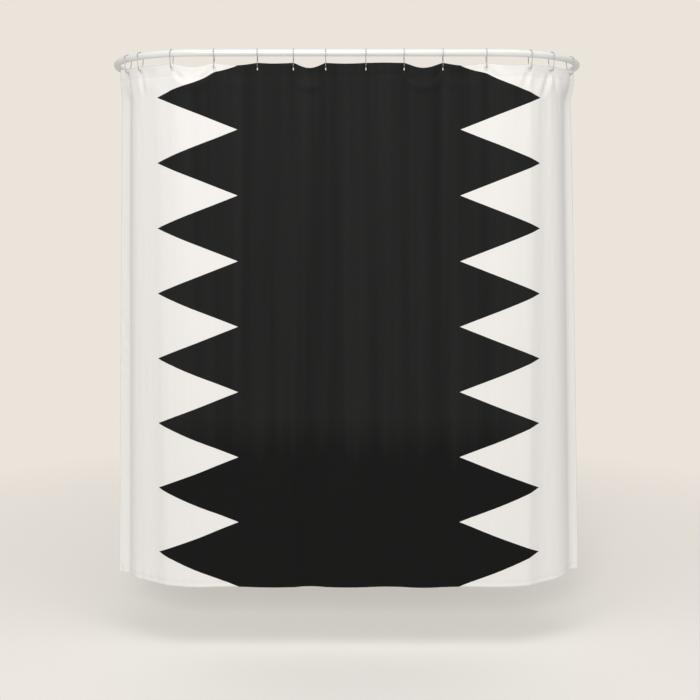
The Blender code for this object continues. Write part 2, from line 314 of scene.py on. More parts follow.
def makeCloth(name, inkShare=1.0, sewn=False):
    # plain-woven polyester, with the print's ink lying on a warm white ground, and painted shade in soft vertical
    # fold bands over both and over the ink's lower part; sewn is its thread
    n = Nodes(name)
    flat = n.add("ShaderNodeUVMap", uv_map="flatCloth").outputs[0]
    split = n.add("ShaderNodeSeparateXYZ")
    n.join(flat, split.inputs[0])
    across, up = split.outputs["X"], split.outputs["Y"]
    pitch = printLook["thread"] / (2 if sewn else 1)
    warp = n.math("SINE", n.math("MULTIPLY", across, 2 * math.pi / pitch))
    weft = n.math("SINE", n.math("MULTIPLY", up, 2 * math.pi / pitch))
    weave = n.math("MULTIPLY", warp, weft)
    slub = n.noise(flat, 40.0, 3.0, 0.6, (26.0, 0.6, 1.0))
    cloud = n.noise(flat, 2.2, 3.0, 0.5, (1.6, 0.5, 1.0))
    ground = n.mix(n.between(cloud, 0.3, 0.7, 0.0, 0.35), printLook["ground"], (0.775, 0.763, 0.748))
    rough = n.between(slub, 0.3, 0.7, 0.68, 0.80)
    # painted shade: vertically stretched noise bands darken the white ground here and the ink below, standing in
    # for the shading of shallow vertical folds
    foldShadeBands = n.noise(flat, 1.0, 2.0, 0.5, (17.0, 0.35, 1.0))
    ground = n.mix(n.between(foldShadeBands, 0.35, 0.7, 0.0, 0.5), ground, (0.765, 0.757, 0.746))
    if sewn:
        ground = n.mix(0.45, ground, (0.58, 0.565, 0.54))
    halfTooth = clothHigh / printLook["teeth"] / 2
    zigzag = n.math("DIVIDE", n.math("PINGPONG", up, halfTooth), halfTooth)
    reach = n.math("MULTIPLY", zigzag, printLook["outer"] - printLook["inner"])
    inked = n.math("LESS_THAN", n.math("ABSOLUTE", across), n.math("ADD", reach, printLook["inner"]))
    # painted shade: the ink keeps its shaded tone up to 0.42 m above the hem and blends to its lit tone by 0.62 m,
    # so it is darker towards the foot where less light falls; the fold bands add painted shade to it too, and the
    # slub streaks a random tone
    foot = n.between(up, 0.42, 0.62, 0.0, 1.0)
    streak = n.between(slub, 0.25, 0.75, -0.10, 0.10)
    tone = n.math("ADD", n.math("ADD", foot, streak), n.between(foldShadeBands, 0.3, 0.65, 0.08, -0.55), clamp=True)
    ink = n.mix(tone, printLook["inkShadedFoot"], printLook["inkLitTop"])
    colour = n.mix(n.math("MULTIPLY", inked, inkShare), ground, ink)
    n.put("Base Color", colour)
    n.put("Roughness", rough)
    n.put("Specular IOR Level", 0.14)
    n.put("Sheen Weight", 0.03)
    n.put("Sheen Roughness", 0.5)
    threads = n.bump(weave, 0.5 if sewn else 0.22, 0.00012)
    n.put("Normal", n.bump(slub, 0.10, 0.0004, threads))
    return n.material


railEnamel = makeEnamel("railEnamel", railZ + tubeRadius * 0.82)
fittingEnamel = makeEnamel("fittingEnamel")
hookSteel = makeMetal("hookSteel", (0.46, 0.46, 0.47), (0.31, 0.31, 0.315), (0.26, 0.42))
screwSteel = makeMetal("screwSteel", (0.60, 0.60, 0.60), (0.44, 0.43, 0.42), (0.28, 0.48))
printedCloth = makeCloth("printedCloth")
clothBack = makeCloth("clothBack", inkShare=0.16)
sewnThread = makeCloth("sewnThread", sewn=True)
print("materials made")


railMake = {"points": 40, "bendSteps": 72, "wall": 0.0012, "straightSteps": 6, "gap": 0.0003}


def makeFrontRail():
    tailX = rearHigh.x + railMake["gap"]
    sideways = (0, math.pi / 2, 0)
    start = startRing("frontRailTube", tubeRadius, railMake["points"], (tailX, rearY, railZ), sideways)
    editMode()
    pushOn((halfStraight - tailX, 0, 0))
    middle = (halfStraight, frontY + bendRadius, railZ)
    spinOn(-math.pi, middle, (0, 0, 1), railMake["bendSteps"])
    for step in range(railMake["straightSteps"]):
        pushOn((-2 * halfStraight / railMake["straightSteps"], 0, 0))
    middle = (-halfStraight, frontY + bendRadius, railZ)
    spinOn(-math.pi, middle, (0, 0, 1), railMake["bendSteps"])
    pushOn((halfStraight - tailX, 0, 0))
    objectMode()
    outward(start)
    applyModifier(start, "SOLIDIFY", thickness=railMake["wall"], offset=-1.0)
    wear(smooth(start), railEnamel)
    standsFor(start, "front_rail")


def makeRearRail():
    sideways = (0, math.pi / 2, 0)
    start = startRing("rearRailTube", tubeRadius, railMake["points"], (rearLow.x, rearY, railZ), sideways)
    editMode()
    for step in range(railMake["straightSteps"]):
        pushOn(((rearHigh.x - rearLow.x) / railMake["straightSteps"], 0, 0))
    objectMode()
    outward(start)
    applyModifier(start, "SOLIDIFY", thickness=railMake["wall"], offset=-1.0)
    wear(smooth(start), railEnamel)
    standsFor(start, "rear_rail")


makeFrontRail()
makeRearRail()
print("rail made")


fittingMake = {"points": 48, "gap": 0.0003, "neckWall": 0.0035, "plate": 0.004}


def roundEdges(obj, width, segments=3, angle=35):
    applyModifier(
        obj, "BEVEL", width=width, segments=segments, limit_method="ANGLE", angle_limit=math.radians(angle)
    )
    return obj


def makeTurned(name, rings, place, turn, points):
    # rings of (radius, height) stacked up from a first ring, closed at both ends
    radius, height = rings[0]
    up = Matrix.Rotation(turn[0], 3, "X") @ Matrix.Rotation(turn[1], 3, "Y") @ Vector((0, 0, 1))
    centre = Vector(place) + up * height
    obj = startRing(name, radius, points, centre, turn)
    editMode()
    bpy.ops.mesh.edge_face_add()
    for nextRadius, nextHeight in rings[1:]:
        step = up * (nextHeight - height)
        centre = centre + step
        pushOn(step)
        if abs(nextRadius - radius) > 1e-9:
            grow = nextRadius / radius
            bpy.ops.transform.resize(value=(grow, grow, grow), center_override=centre)
        radius, height = nextRadius, nextHeight
    objectMode()
    return outward(obj, 0.000005)


def bored(obj, radius, start, end, points=32):
    # cut a round hole between two places
    along = Vector(end) - Vector(start)
    turn = Vector((0, 0, 1)).rotation_difference(along).to_euler()
    nothingSelected()
    bpy.ops.mesh.primitive_cylinder_add(
        vertices=points, radius=radius, depth=along.length, location=Vector(start) + along / 2, rotation=turn
    )
    drill = bpy.context.active_object
    applyModifier(obj, "BOOLEAN", object=drill, operation="DIFFERENCE", solver="EXACT")
    bpy.data.objects.remove(drill)
    return obj


def makeSleeve(node):
    low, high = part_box(node)
    radius = (high.z - low.z) / 2
    length = high.x - low.x
    centre = (low + high) / 2
    bead = 0.0009
    rings = [
        (radius - 0.0006, 0.0), (radius, 0.0006), (radius, 0.005), (radius + bead, 0.0056),
        (radius + bead, 0.0085), (radius, 0.0091), (radius, length - 0.0091),
        (radius + bead, length - 0.0085), (radius + bead, length - 0.0056), (radius, length - 0.005),
        (radius, length - 0.0006), (radius - 0.0006, length),
    ]
    place = (low.x, centre.y, centre.z)
    obj = makeTurned(node + "Sleeve", rings, place, (0, math.pi / 2, 0), fittingMake["points"])
    bore = tubeRadius + fittingMake["gap"]
    bored(obj, bore, (low.x - 0.01, centre.y, centre.z), (high.x + 0.01, centre.y, centre.z), 48)
    for screw in [name for name in frame["nodes"] if name.startswith("coupling_screw_")]:
        screwLow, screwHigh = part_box(screw)
        middle = (screwLow + screwHigh) / 2
        if low.x < middle.x < high.x:
            foot = Vector((middle.x, middle.y, middle.z + 0.004))
            hole = (screwHigh.x - screwLow.x) / 2 + fittingMake["gap"]
            bored(obj, hole, foot, foot - Vector((0, 0, 0.01)), 24)
    wear(smooth(obj, 30), fittingEnamel)
    standsFor(obj, node)


def makeGrub(node, index):
    # a grub screw with a hexagonal socket in the face that shows
    low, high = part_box(node)
    radius = (high.x - low.x) / 2
    centre = (low + high) / 2
    height = high.z - low.z
    rings = [(radius * 0.8, 0.0), (radius, radius * 0.2), (radius, height - 0.0002), (radius * 0.94, height)]
    place = (centre.x, centre.y, low.z)
    obj = makeTurned(f"grubScrew{index}", rings, place, (0, 0, 0), 24)
    socketFoot = (centre.x, centre.y, low.z - 0.001)
    bored(obj, radius * 0.5, socketFoot, (centre.x, centre.y, low.z + height * 0.6), 6)
    wear(smooth(obj, 30), screwSteel)
    standsFor(obj, node)


def makeSaddle(side):
    node = side + "_saddle"
    low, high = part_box(node)
    x = (low.x + high.x) / 2
    collar = railZ - low.z
    width = high.x - low.x
    rings = [(collar - 0.0008, 0.0), (collar, 0.0008), (collar, width - 0.0008), (collar - 0.0008, width)]
    obj = makeTurned(node + "Clamp", rings, (low.x, rearY, railZ), (0, math.pi / 2, 0), fittingMake["points"])
    stayLow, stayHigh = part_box(side + "_stay")
    stayRadius = (stayHigh.x - stayLow.x) / 2
    boss = stayRadius + fittingMake["gap"] + 0.004
    reach = high.y - rearY
    rings = [(boss, 0.0), (boss, reach - 0.001), (boss - 0.0008, reach)]
    # the boss is laid over to point at the wall
    neck = makeTurned(node + "Boss", rings, (x, rearY, railZ), (-math.pi / 2, 0, 0), fittingMake["points"])
    applyModifier(obj, "BOOLEAN", object=neck, operation="UNION", solver="EXACT")
    bpy.data.objects.remove(neck)
    bore = tubeRadius + fittingMake["gap"]
    bored(obj, bore, (low.x - 0.01, rearY, railZ), (high.x + 0.01, rearY, railZ), 48)
    socket = stayRadius + fittingMake["gap"]
    bored(obj, socket, (x, stayLow.y - fittingMake["gap"], railZ), (x, high.y + 0.02, railZ), 48)
    screwLow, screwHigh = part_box(side + "_saddle_screw")
    bored(
        obj, (screwHigh.x - screwLow.x) / 2 + fittingMake["gap"],
        (x, rearY, screwHigh.z + 0.002), (x, rearY, screwLow.z - 0.004), 24,
    )
    roundEdges(obj, 0.0007, 2, 50)
    wear(smooth(obj, 40), fittingEnamel)
    standsFor(obj, node)


def makeStay(side):
    node = side + "_stay"
    low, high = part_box(node)
    x = (low.x + high.x) / 2
    radius = (high.x - low.x) / 2
    obj = startRing(node + "Tube", radius, railMake["points"], (x, low.y, railZ), (-math.pi / 2, 0, 0))
    editMode()
    pushOn((0, high.y - low.y, 0))
    objectMode()
    outward(obj)
    applyModifier(obj, "SOLIDIFY", thickness=railMake["wall"], offset=-1.0)
    wear(smooth(obj), fittingEnamel)
    standsFor(obj, node)


def makeFlange(side):
    # a wall plate with a rolled rim, a coved neck and three dimpled screw seats
    node = side + "_flange"
    low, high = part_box(node)
    x = (low.x + high.x) / 2
    rim = (high.z - low.z) / 2
    deep = high.y - low.y
    plate = fittingMake["plate"]
    stayLow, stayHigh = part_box(side + "_stay")
    socket = (stayHigh.x - stayLow.x) / 2 + fittingMake["gap"]
    neck = socket + fittingMake["neckWall"]
    rings = [
        (rim - 0.0003, 0.0), (rim, 0.0004), (rim, plate * 0.5), (rim - 0.0006, plate * 0.8),
        (rim - 0.0016, plate), (neck + 0.0026, plate), (neck + 0.0012, plate + 0.0005),
        (neck + 0.0004, plate + 0.0014), (neck, plate + 0.0028), (neck, deep - 0.0008), (neck - 0.0008, deep),
    ]
    obj = makeTurned(node + "Plate", rings, (x, high.y, railZ), (math.pi / 2, 0, 0), 64)
    bored(obj, socket, (x, high.y - plate, railZ), (x, low.y - 0.01, railZ), 48)
    for number in (1, 2, 3):
        screwLow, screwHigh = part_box(f"{side}_flange_screw_{number}")
        middle = (screwLow + screwHigh) / 2
        bored(obj, 0.0024, (middle.x, high.y + 0.002, middle.z), (middle.x, low.y, middle.z), 24)
    wear(smooth(obj, 35), fittingEnamel)
    standsFor(obj, node)


def makeFlangeScrew(side, number):
    # a pan head with a cross recess, on a plain shank
    node = f"{side}_flange_screw_{number}"
    low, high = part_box(node)
    centre = (low + high) / 2
    head = (high.x - low.x) / 2
    deep = high.y - low.y
    seat = fittingMake["plate"] + fittingMake["gap"]
    tall = deep - seat
    rings = [
        (0.0021, 0.0), (0.0021, seat), (head - 0.0002, seat), (head, seat + tall * 0.25),
        (head * 0.93, seat + tall * 0.6), (head * 0.72, seat + tall * 0.88), (head * 0.4, seat + tall),
    ]
    place = (centre.x, high.y, centre.z)
    obj = makeTurned(f"{side}FlangeScrew{number}", rings, place, (math.pi / 2, 0, 0), 32)
    # the cross recess is two crossed slots
    for turn in (0.5, 0.5 + math.pi / 2):
        nothingSelected()
        middle = (centre.x, low.y, centre.z)
        bpy.ops.mesh.primitive_cube_add(size=1, location=middle, rotation=(0, turn * number, 0))
        slot = bpy.context.active_object
        slot.scale = (head * 1.15, tall * 0.9, 0.0009)
        applyModifier(obj, "BOOLEAN", object=slot, operation="DIFFERENCE", solver="EXACT")
        bpy.data.objects.remove(slot)
    wear(smooth(obj, 35), screwSteel)
    standsFor(obj, node)


makeSleeve("left_coupling")
makeSleeve("right_coupling")
for number in (1, 2, 3, 4):
    makeGrub(f"coupling_screw_{number}", number)
makeGrub("left_saddle_screw", 5)
makeGrub("right_saddle_screw", 6)
for side in ("left", "right"):
    makeSaddle(side)
    makeStay(side)
    makeFlange(side)
    for number in (1, 2, 3):
        makeFlangeScrew(side, number)
print("fittings made")


hookMake = {
    "wire": 0.00125,
    "gap": 0.0003,
    "points": 12,
    "topRadius": 0.0155,
    "footRadius": 0.010,
    "foot": 0.053,
    "mouth": 0.0030,
    "bead": 0.0017,
}


def makeHook():
    # one bent wire in the YZ plane, with the rail's centre line through its origin
    wire = hookMake["wire"]
    big, small = hookMake["topRadius"], hookMake["footRadius"]
    top = tubeRadius + hookMake["gap"] + wire - big
    foot = small - hookMake["foot"]
    lean = math.asin((big - small) / (top - foot))
    out = Vector((0, math.cos(lean), -math.sin(lean)))
    high = Vector((0, 0, top)) + out * big
    low = Vector((0, 0, foot)) + out * small
    down = (low - high).normalized()
    middle = (high + low) / 2
    upperEnd = middle - down * hookMake["mouth"] / 2
    lowerEnd = middle + down * hookMake["mouth"] / 2
    axis = (1, 0, 0)
    obj = startRing("hookWire", wire, hookMake["points"], (0, 0, 0))
    square = Vector((0, 0, 1)).rotation_difference(-down).to_matrix().to_4x4()
    obj.data.transform(Matrix.Translation(upperEnd) @ square)
    pick(obj)
    editMode()
    pushOn(tuple(high - upperEnd))
    spinOn(math.pi + 2 * lean, (0, 0, top), axis, 28)
    pushOn((0, high.y - low.y, low.z - high.z))
    spinOn(math.pi - 2 * lean, (0, 0, foot), axis, 22)
    pushOn(tuple(lowerEnd - low))
    bpy.ops.mesh.select_all(action="DESELECT")
    bpy.ops.mesh.select_non_manifold(
        extend=False, use_wire=False, use_multi_face=False, use_non_contiguous=False
    )
    bpy.ops.mesh.edge_face_add()
    objectMode()
    outward(obj)
    # the two ends are dressed with a small soldered bead
    for end in (upperEnd, lowerEnd):
        nothingSelected()
        size = hookMake["bead"]
        bpy.ops.mesh.primitive_uv_sphere_add(segments=16, ring_count=10, radius=size, location=end)
        bead = bpy.context.active_object
        applyModifier(obj, "BOOLEAN", object=bead, operation="UNION", solver="EXACT")
        bpy.data.objects.remove(bead)
    return wear(smooth(obj, 50), hookSteel)


hookPattern = makeHook()
hookBodies = {node: body for body, nodes in frame["record"]["behaviour"]["bodies"].items() for node in nodes}
for node, place in zip(hookNames, hookAt):
    hook = copyOf(hookPattern, node.replace("_", "Wire"), onRail(place))
    standsFor(hook, node, hookBodies[node])
bpy.data.objects.remove(hookPattern)
print("hooks made")


clothMake = {
    "leftMargin": 0.045,
    "rightMargin": 0.022,
    # spare cloth between one hook and the next, from the left
    "spare": [
        0.0006, 0.0009, 0.0011, 0.0004, 0.0001, 0.0015, 0.0001,
        0.0003, 0.0013, 0.0004, 0.0004, 0.0013, 0.0013,
    ],
    # how far the top edge dips between one hook and the next
    "dips": [0.003, 0.004, 0.013, 0.008, 0.0015, 0.0175, 0.002, -0.0016, 0.0165, 0.009, 0.006, 0.005, 0.003],
    "dipReach": 0.075,
    "roll": 0.0075,
    "simStep": 0.016,
    "simFrames": 32,
    "thick": 0.0006,
    "layer": 0.0010,
    "hem": 0.025,
    "header": 0.043,
    "sideHem": 0.010,
    # where the seams run: from the top edge, from the foot and from the sides
    "headerSeam": 0.040,
    "hemSeam": 0.0145,
    "sideSeam": 0.007,
}
holeLow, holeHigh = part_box("buttonhole_05")
ringTube = (holeHigh.y - holeLow.y) / 2
ringHalf = (holeHigh.x - holeLow.x) / 2 - ringTube
ringTop = clothHigh - holeHigh.z + ringTube
ringFoot = clothHigh - holeLow.z - ringTube
holeHalf = ringHalf + 0.0009

# flat places of the hooks across the cloth, and the rail places they hang from
hookFlat = [clothMake["leftMargin"]]
for index, spare in enumerate(clothMake["spare"]):
    hookFlat.append(hookFlat[-1] + hookAt[index + 1] - hookAt[index] + spare)
clothWidth = hookFlat[-1] + clothMake["rightMargin"]
flatMarks = [0.0, *hookFlat, clothWidth]
railMarks = [hookAt[0] - clothMake["leftMargin"], *hookAt, hookAt[-1] + clothMake["rightMargin"]]


def spread(marks, step):
    # places from mark to mark, about a step apart, with every mark among them
    places = []
    for start, end in zip(marks, marks[1:]):
        count = max(1, round((end - start) / step))
        places += [start + (end - start) * i / count for i in range(count)]
    return np.array([*places, marks[-1]])


def firstShape(across, down):
    # the cloth before it is let go: round the rail, with its spare width bowed out between hooks
    rail = np.interp(across, flatMarks, railMarks)
    grid = np.zeros((len(down), len(across), 3))
    for i, r in enumerate(rail):
        at = onRail(r)
        gap = int(np.clip(np.searchsorted(hookAt, r) - 1, 0, len(hookAt) - 2))
        length = hookAt[gap + 1] - hookAt[gap]
        share = np.clip((r - hookAt[gap]) / length, 0, 1)
        bow = 2 / math.pi * math.sqrt(clothMake["spare"][gap] * length) * math.sin(math.pi * share)
        bow *= 1 if gap % 2 else -1
        inward = at.to_3x3() @ Vector((0, 1, 0))
        for j, d in enumerate(down):
            place = at.translation + inward * bow * (1 - math.exp(-d / 0.05))
            grid[j, i] = (place.x, place.y, clothHigh - d)
    return grid


def gridMesh(name, grid):
    rows, columns = grid.shape[:2]
    faces = []
    for j in range(rows - 1):
        for i in range(columns - 1):
            a = j * columns + i
            faces.append((a, a + columns, a + columns + 1, a + 1))
    data = bpy.data.meshes.new(name)
    data.from_pydata(grid.reshape(-1, 3).tolist(), [], faces)
    obj = bpy.data.objects.new(name, data)
    bpy.context.scene.collection.objects.link(obj)
    return obj


clothForces = {
    "quality": 8,
    "mass": 0.15,
    "tension_stiffness": 60,
    "compression_stiffness": 30,
    "shear_stiffness": 12,
    "bending_stiffness": 3,
    "bending_stiffness_max": 60,
    "tension_damping": 15,
    "compression_damping": 15,
    "shear_damping": 10,
    "bending_damping": 1,
    "air_damping": 3,
    "pin_stiffness": 1,
}


def hangCloth(across, down, grid):
    # let the flat cloth hang from its buttonholes under its own weight
    rows, columns = grid.shape[:2]
    obj = gridMesh("hangingCloth", grid)
    obj.shape_key_add(name="Basis")
    flatKey = obj.shape_key_add(name="flat")
    for j in range(rows):
        for i in range(columns):
            flatKey.data[j * columns + i].co = (across[i] - clothWidth / 2, 0, clothHigh - down[j])
    held = obj.vertex_groups.new(name="held")
    stiff = obj.vertex_groups.new(name="stiff")
    headerRows = int(np.searchsorted(down, clothMake["header"] + 0.002))
    for flat in hookFlat:
        i = int(np.argmin(np.abs(across - flat)))
        held.add([j * columns + i for j in range(headerRows - 1)], 1.0, "REPLACE")
    stiff.add(list(range(headerRows * columns)), 1.0, "REPLACE")
    stiff.add(list(range((rows - 2) * columns, rows * columns)), 0.5, "REPLACE")
    stiff.add([j * columns + i for j in range(rows) for i in (0, columns - 1)], 0.5, "REPLACE")
    cloth = obj.modifiers.new("cloth", "CLOTH")
    settings = cloth.settings
    settings.rest_shape_key = flatKey
    settings.vertex_group_mass = "held"
    settings.vertex_group_bending = "stiff"
    for name, value in clothForces.items():
        setattr(settings, name, value)
    cloth.collision_settings.use_collision = False
    cloth.collision_settings.use_self_collision = False
    cloth.point_cache.frame_start = 1
    cloth.point_cache.frame_end = clothMake["simFrames"]
    for step in range(1, clothMake["simFrames"] + 1):
        bpy.context.scene.frame_set(step)
    hung = obj.evaluated_get(bpy.context.evaluated_depsgraph_get()).to_mesh()
    places = np.zeros(len(hung.vertices) * 3, np.float32)
    hung.vertices.foreach_get("co", places)
    bpy.data.objects.remove(obj)
    bpy.context.scene.frame_set(1)
    return places.reshape(rows, columns, 3).astype(float)


def cubicShares(known, wanted):
    # a matrix that carries values at the known places to a smooth curve's values at the wanted ones
    count = len(known)
    slopes = np.zeros((count, count))
    for i in range(count):
        a, b = max(i - 1, 0), min(i + 1, count - 1)
        slopes[i, a] -= 1 / (known[b] - known[a])
        slopes[i, b] += 1 / (known[b] - known[a])
    shares = np.zeros((len(wanted), count))
    for row, place in enumerate(wanted):
        i = int(np.clip(np.searchsorted(known, place, side="right") - 1, 0, count - 2))
        width = known[i + 1] - known[i]
        t = (place - known[i]) / width
        shares[row] += (t**3 - 2 * t**2 + t) * width * slopes[i] + (t**3 - t**2) * width * slopes[i + 1]
        shares[row, i] += 2 * t**3 - 3 * t**2 + 1
        shares[row, i + 1] += 3 * t**2 - 2 * t**3
    return shares


simAcross = spread(flatMarks, clothMake["simStep"])
simDown = np.array([0.0, 0.008, 0.016, 0.024, 0.034, 0.044])
simDown = np.append(simDown, np.arange(0.044 + clothMake["simStep"], clothHigh - 0.01, clothMake["simStep"]))
simDown = np.append(simDown, clothHigh)
hungGrid = firstShape(simAcross, simDown)
hungGrid = hangCloth(simAcross, simDown, hungGrid)
# the threads' slight stretch under the weight is taken back, row by row
for j, d in enumerate(simDown):
    hungGrid[j, :, 2] += (clothHigh - d) - hungGrid[j, :, 2].mean()
print("cloth hung")

# past the straight, the cloth's line seen from above: (metres of cloth from the side edge, degrees turned
# from the front). At the top it keeps to the rail; at the foot it straightens, and its edge swings forward.
flareMake = {
    "left": {
        "top": [(0.0, 32), (0.030, 36), (0.044, 62), (0.062, 60), (0.090, 44), (0.190, 35), (0.240, 14)],
        "foot": [
            (0.0, 4), (0.036, 10), (0.050, 52), (0.072, 48), (0.110, 36), (0.215, 33), (0.245, 8), (0.330, 4),
        ],
    },
    "right": {
        "top": [(0.0, 34), (0.030, 38), (0.046, 64), (0.080, 60), (0.120, 48), (0.200, 40), (0.235, 14)],
        "foot": [
            (0.0, 4), (0.034, 10), (0.050, 54), (0.085, 46), (0.130, 32), (0.220, 27), (0.250, 6), (0.330, 4),
        ],
    },
    "step": 0.002,
}


def plan(edgeRail, turns):
    # places along the cloth's line from the straight's end to the side edge
    count = int((edgeRail - halfStraight) / flareMake["step"])
    length = (edgeRail - halfStraight) / count
    fromEdge = np.array([turn[0] for turn in turns])
    degrees = np.radians(np.array([turn[1] for turn in turns]))
    places = np.zeros((count + 1, 3))
    for i in range(count):
        along = (i + 0.5) * length
        left = edgeRail - halfStraight - along
        angle = along / bendRadius
        if left < fromEdge[-1]:
            angle = np.interp(left, fromEdge, degrees)
            near = np.clip((fromEdge[-1] - left) / 0.03, 0, 1)
            angle = near * angle + (1 - near) * min(along / bendRadius, degrees[-1])
        else:
            angle = min(angle, degrees[-1])
        places[i + 1, 0] = places[i, 0] + length
        places[i + 1, 1] = places[i, 1] + length * math.cos(angle)
        places[i + 1, 2] = places[i, 2] + length * math.sin(angle)
    return places


def flareAt(across, end):
    # how far the cloth's ends leave the rail's curve, at the top or at the foot
    rail = np.interp(across, flatMarks, railMarks)
    moves = np.zeros((len(across), 2))
    for side, name in ((-1, "left"), (1, "right")):
        places = plan(abs(railMarks[0 if side < 0 else -1]), flareMake[name][end])
        for i, r in enumerate(rail):
            past = side * r - halfStraight
            if past <= 0:
                continue
            at = onRail(r).translation
            x = halfStraight + np.interp(past, places[:, 0], places[:, 1])
            y = np.interp(past, places[:, 0], places[:, 2])
            moves[i] = (side * x - at.x, frontY + y - at.y)
    return moves


# soft diagonal creases that run down from the hooks: from and to are (across, down) in metres of flat
# cloth, counted from a hook's buttonhole
creases = [
    {"hook": 11, "from": (-0.004, 0.020), "to": (-0.030, 0.085), "width": 0.009, "deep": 0.0035},
    {"hook": 12, "from": (-0.006, 0.018), "to": (-0.045, 0.120), "width": 0.010, "deep": 0.0045},
    {"hook": 12, "from": (0.010, 0.018), "to": (0.035, 0.100), "width": 0.010, "deep": 0.0030},
    {"hook": 10, "from": (0.012, 0.022), "to": (0.060, 0.070), "width": 0.010, "deep": 0.0025},
    {"hook": 3, "from": (-0.010, 0.020), "to": (-0.055, 0.060), "width": 0.009, "deep": 0.0030},
    {"hook": 2, "from": (0.010, 0.020), "to": (0.050, 0.062), "width": 0.009, "deep": 0.0025},
    {"hook": 1, "from": (0.004, 0.020), "to": (0.016, 0.110), "width": 0.008, "deep": 0.0030},
    {"hook": 0, "from": (0.004, 0.020), "to": (0.022, 0.130), "width": 0.009, "deep": 0.0030},
    {"hook": 5, "from": (0.010, 0.022), "to": (0.040, 0.075), "width": 0.010, "deep": 0.0025},
    {"hook": 6, "from": (-0.010, 0.022), "to": (-0.038, 0.075), "width": 0.010, "deep": 0.0025},
    {"hook": 8, "from": (0.010, 0.022), "to": (0.045, 0.072), "width": 0.010, "deep": 0.0025},
    {"hook": 9, "from": (-0.010, 0.022), "to": (-0.045, 0.075), "width": 0.010, "deep": 0.0025},
]


def nearLine(s, d, start, end):
    # each place's distance from a line, and how far along it the nearest point lies, from 0 to 1
    run = np.array(end) - np.array(start)
    along = ((s - start[0]) * run[0] + (d - start[1]) * run[1]) / (run @ run)
    share = np.clip(along, 0, 1)
    off = np.hypot(s - start[0] - share * run[0], d - start[1] - share * run[1])
    return off, share


def drape(across, down, offset=0.0):
    # the finished cloth's surface at every pair of flat places, moved off to the back by offset
    rowShares, columnShares = cubicShares(simDown, down), cubicShares(simAcross, across)
    grid = np.einsum("ja,abk,ib->jik", rowShares, hungGrid, columnShares)
    s, d = np.meshgrid(across, down)
    # the ends leave the rail's curve under the header, and more so towards the foot
    topMoves, footMoves = flareAt(across, "top"), flareAt(across, "foot")
    fall = np.clip(d / clothHigh, 0, 1) ** 0.8
    hang = np.clip((d - 0.032) / 0.10, 0, 1)
    hang = hang * hang * (3 - 2 * hang)
    for axis in (0, 1):
        grid[..., axis] += hang * ((1 - fall) * topMoves[None, :, axis] + fall * footMoves[None, :, axis])
        # outside the end hooks nothing holds the header to the rail's curve
        for beyond, flat in ((across < hookFlat[0], hookFlat[0]), (across > hookFlat[-1], hookFlat[-1])):
            atHook = np.interp(flat, across, topMoves[:, axis])
            grid[..., axis] += np.where(beyond[None, :], (1 - hang) * (topMoves[None, :, axis] - atHook), 0)
    inward = normalsOf(grid)
    # the top edge dips between hooks, and the cloth under a dip rolls forward a little
    for gap, dip in enumerate(clothMake["dips"]):
        start, end = hookFlat[gap], hookFlat[gap + 1]
        share = np.clip((s - start) / (end - start), 0, 1)
        bow = np.where((s > start) & (s < end), np.sin(math.pi * share) ** 1.25, 0)
        fade = np.exp(-((d / clothMake["dipReach"]) ** 2))
        grid[..., 2] -= dip * bow * fade
        size = clothMake["roll"] * dip / 0.02
        wave = np.exp(-(((d - 0.058 - 0.022 * bow) / 0.020) ** 2))
        wave -= 0.6 * np.exp(-(((d - 0.026) / 0.016) ** 2))
        grid -= inward * (size * bow * wave)[..., None]
    for crease in creases:
        flat = hookFlat[crease["hook"]]
        start = (flat + crease["from"][0], crease["from"][1])
        end = (flat + crease["to"][0], crease["to"][1])
        off, share = nearLine(s, d, start, end)
        ends = np.sin(math.pi * (0.12 + 0.88 * share))
        depth = 1.4 * crease["deep"] * np.exp(-((off / crease["width"]) ** 2)) * ends
        ridge = 0.7 * crease["deep"] * np.exp(-(((off - 1.9 * crease["width"]) / crease["width"]) ** 2))
        grid += inward * (depth - ridge * np.sin(math.pi * share))[..., None]
    # the seams draw the cloth in and pucker it
    for seam, reach in ((clothMake["headerSeam"], 0.0055), (clothHigh - clothMake["hemSeam"], 0.007)):
        near = np.exp(-(((d - seam) / reach) ** 2))
        pucker = np.sin(s * 2 * math.pi / 0.017 + 2.0 * np.sin(s * 23.0))
        pucker = pucker * (0.5 + 0.5 * np.sin(s * 61.0 + 1.3))
        grid += inward * ((0.0012 + 0.0010 * pucker) * near)[..., None]
    # the left edge is crinkled over its middle third, and the hem ripples at its corners
    patch = np.exp(-(((d - 0.98) / 0.26) ** 4)) * np.exp(-(((s - 0.022) / 0.026) ** 2))
    crinkle = np.sin(d * 131 + 3 * np.sin(s * 90)) + 0.7 * np.sin(d * 83 - s * 160 + 2 * np.sin(d * 29))
    grid += inward * (0.0012 * patch * crinkle)[..., None]
    corner = np.exp(-s / 0.20) + 0.5 * np.exp(-(clothWidth - s) / 0.12)
    foot = np.exp(-(((d - clothHigh + 0.016) / 0.018) ** 2))
    ripple = np.sin(s * 2 * math.pi / 0.036 + 1.5 * np.sin(s * 31.0))
    grid += inward * (0.0030 * corner * foot * ripple)[..., None]
    lift = 0.010 * np.exp(-((s / 0.13) ** 2)) + 0.024 * np.exp(-(((clothWidth - s) / 0.14) ** 2))
    grid[..., 2] += lift * np.clip((d - 1.35) / (clothHigh - 1.35), 0, 1) ** 2
    grid[..., 2] += 0.0018 * corner * foot * np.sin(s * 2 * math.pi / 0.041 + 1.2 * np.sin(s * 27.0))
    for seam in (clothMake["sideSeam"], clothWidth - clothMake["sideSeam"]):
        near = np.exp(-(((s - seam) / 0.005) ** 2))
        pucker = np.sin(d * 2 * math.pi / 0.019 + 2.0 * np.sin(d * 21.0))
        grid += inward * ((0.0005 + 0.0005 * pucker) * near)[..., None]
    return grid + normalsOf(grid) * offset


